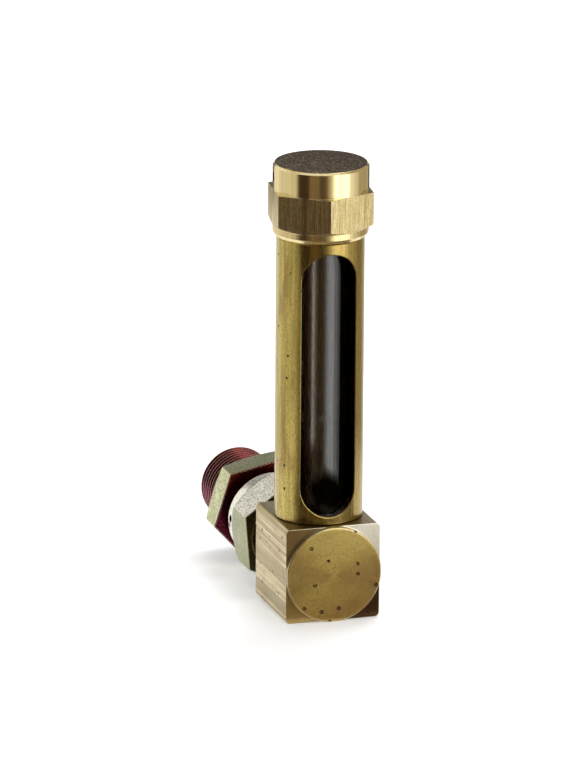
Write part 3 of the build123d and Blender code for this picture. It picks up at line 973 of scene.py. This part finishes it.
def card_glow(name):
    """A material that only glows; gives its tree, its lamp node and its position in metres."""
    glow = bpy.data.materials.new(name)
    glow.use_nodes = True
    tree = glow.node_tree
    tree.nodes.clear()
    lamp = add(tree, "ShaderNodeEmission")
    add(tree, "ShaderNodeOutputMaterial", {"Surface": lamp.outputs[0]})
    place = add(tree, "ShaderNodeTexCoord")
    axes = add(tree, "ShaderNodeSeparateXYZ", {"Vector": place.outputs["Object"]}).outputs
    return glow, tree, lamp, axes


def round_from_front(tree, axes):
    """Angle round the gauge from the studio's front, in degrees, positive to the right."""
    across = calc(tree, "ADD", times(tree, axes["X"], cos(AZIMUTH)), times(tree, axes["Y"], sin(AZIMUTH)))
    ahead = calc(tree, "SUBTRACT", times(tree, axes["X"], sin(AZIMUTH)), times(tree, axes["Y"], cos(AZIMUTH)))
    return calc(tree, "DEGREES", calc(tree, "ARCTAN2", across, ahead))


# %% The row of cards
WHITE_CARD = (2.2, 2.2, 2.15)
PALE_CARD = (1.05, 1.04, 0.98)
CREAM_CARD = (0.80, 0.77, 0.68)
TAN_CARD = (0.46, 0.41, 0.30)
BROWN_CARD = (0.22, 0.155, 0.09)
DARK_CARD = (0.10, 0.07, 0.045)
BLACK_CARD = (0.05, 0.032, 0.02)
BRIGHTEST = max(WHITE_CARD)
CARDS = (
    (-180, PALE_CARD),
    (-120, PALE_CARD),
    (-105, CREAM_CARD),
    (-62, CREAM_CARD),
    (-56, TAN_CARD),
    (-52, BLACK_CARD),
    (-29, BLACK_CARD),
    (-25, BROWN_CARD),
    (-6, BROWN_CARD),
    (0, DARK_CARD),
    (10, DARK_CARD),
    (14, BROWN_CARD),
    (20, TAN_CARD),
    (28, PALE_CARD),
    (33, WHITE_CARD),
    (66, WHITE_CARD),
    (71, PALE_CARD),
    (90, CREAM_CARD),
    (102, TAN_CARD),
    (138, TAN_CARD),
    (150, PALE_CARD),
    (180, PALE_CARD),
)


def row_of_cards(tree, axes):
    """The colour of the cards in the direction of a place, as a share of the brightest."""
    share = calc(tree, "DIVIDE", calc(tree, "ADD", round_from_front(tree, axes), 180.0), 360.0)
    ramp = add(tree, "ShaderNodeValToRGB", {"Fac": share})
    stops = ramp.color_ramp.elements
    while len(stops) < len(CARDS):
        stops.new(1.0)
    for stop, (angle, paint) in zip(stops, CARDS):
        stop.position = (angle + 180) / 360
    for stop, (angle, paint) in zip(stops, CARDS):
        stop.color = (*(part / BRIGHTEST for part in paint), 1)
    return ramp.outputs["Color"]


print(len(CARDS), "places on the row of cards, brightest", BRIGHTEST)

# %% [markdown]
# Behind the gauge, the wall would fill the glass and the cap's top with its
# own light. Two dark flags hang there: a low one for the glass, and a high
# one from just under the cap's top upwards.

# %% Stand the wall of cards round the gauge
WALL_R = 160 * MM
WALL_HEIGHT = 420 * MM
WALL_FOOT = -20 * MM
LOW_FLAG = (0.064, 0.068, 0.084, 0.092)
LOW_FLAG_DARK = 0.9
HIGH_FLAG = (0.118, 0.130)
HIGH_FLAG_DARK = 0.84

wall_bm = bmesh.new()
bmesh.ops.create_cone(wall_bm, cap_ends=False, segments=96, radius1=WALL_R, radius2=WALL_R, depth=WALL_HEIGHT)
bmesh.ops.translate(wall_bm, verts=wall_bm.verts, vec=(0, 0, WALL_FOOT + WALL_HEIGHT / 2))
wall = new_piece("card_wall", wall_bm)
glow, tree, lamp, axes = card_glow("card_wall_glow")
tree.links.new(row_of_cards(tree, axes), lamp.inputs["Color"])
behind = fade(tree, calc(tree, "ABSOLUTE", round_from_front(tree, axes)), 138, 150)
over, under = fade(tree, axes["Z"], *LOW_FLAG[:2]), fade(tree, axes["Z"], *LOW_FLAG[2:], 1.0, 0.0)
low_flag = times(tree, times(tree, over, under), LOW_FLAG_DARK)
high_flag = fade(tree, axes["Z"], *HIGH_FLAG, 0.0, HIGH_FLAG_DARK)
flags = times(tree, behind, calc(tree, "MAXIMUM", low_flag, high_flag))
tree.links.new(times(tree, inverse(tree, flags), BRIGHTEST), lamp.inputs["Strength"])
mirror_only(wall, glow)

# %% [markdown]
# The front card lies on the table. Near the gauge it is tan, farther out it
# goes on as the wall does, and between them is a dark ring, which is what
# makes the glass black at its lower end.

# %% Lay the front card on the table
FRONT_CARD_R = WALL_R - 2 * MM
ABOVE_TABLE = 0.4 * MM
RING_IN = (0.084, 0.090)
RING_OUT = (0.108, 0.122)
NEAR_CARD = (0.30, 0.245, 0.165, 1)

card_bm = bmesh.new()
bmesh.ops.create_circle(card_bm, cap_ends=True, segments=96, radius=FRONT_CARD_R)
bmesh.ops.bisect_plane(
    card_bm,
    geom=card_bm.verts[:] + card_bm.edges[:] + card_bm.faces[:],
    plane_co=(0, block_low.y - 0.5 * MM, 0),
    plane_no=(0, 1, 0),
    clear_outer=True,
)
for vert in card_bm.verts:
    vert.co.z = table_height(vert.co.y) + ABOVE_TABLE
front_card = new_piece("front_card", card_bm)
glow, tree, lamp, axes = card_glow("front_card_glow")
flat_place = add(tree, "ShaderNodeCombineXYZ", {"X": axes["X"], "Y": axes["Y"]}).outputs[0]
out = add(tree, "ShaderNodeVectorMath", {0: flat_place}, operation="LENGTH").outputs["Value"]
beyond = fade(tree, out, *RING_OUT)
tree.links.new(tint(tree, beyond, NEAR_CARD, row_of_cards(tree, axes)), lamp.inputs["Color"])
ring = times(tree, fade(tree, out, *RING_IN), fade(tree, out, *RING_OUT, 1.0, 0.0))
dark = times(tree, ring, fade(tree, round_from_front(tree, axes), -64, -54, 0.5, 0.97))
level_here = fade(tree, out, *RING_OUT, 1.0, BRIGHTEST)
tree.links.new(times(tree, level_here, inverse(tree, dark)), lamp.inputs["Strength"])
mirror_only(front_card, glow)

# %% [markdown]
# ## The lamps
#
# Two soft boxes light the table: the key stands behind and to the right, so
# the shadow falls to the left, and a weaker fill softens it. They are kept
# out of the mirror-like surfaces, because the cards already stand for them
# there.

# %% Light the studio
LAMP_AIM = Vector((0, 0, 0.03))


def soft_box(name, place, size, watts):
    """Square soft lamp at place, turned towards the gauge."""
    data = bpy.data.lights.new(name, "AREA")
    data.shape = "RECTANGLE"
    data.size = size
    data.size_y = size
    data.energy = watts
    lamp = bpy.data.objects.new(name, data)
    lamp.location = place
    lamp.rotation_euler = (LAMP_AIM - Vector(place)).to_track_quat("-Z", "Y").to_euler()
    lamp.visible_glossy = False
    bpy.context.scene.collection.objects.link(lamp)
    print(f"{name}: {watts} W, {size} m wide")


soft_box("key", (0.40, 0.60, 1.25), 0.8, 11)
soft_box("fill", (-0.5, -0.6, 1.2), 0.6, 3)
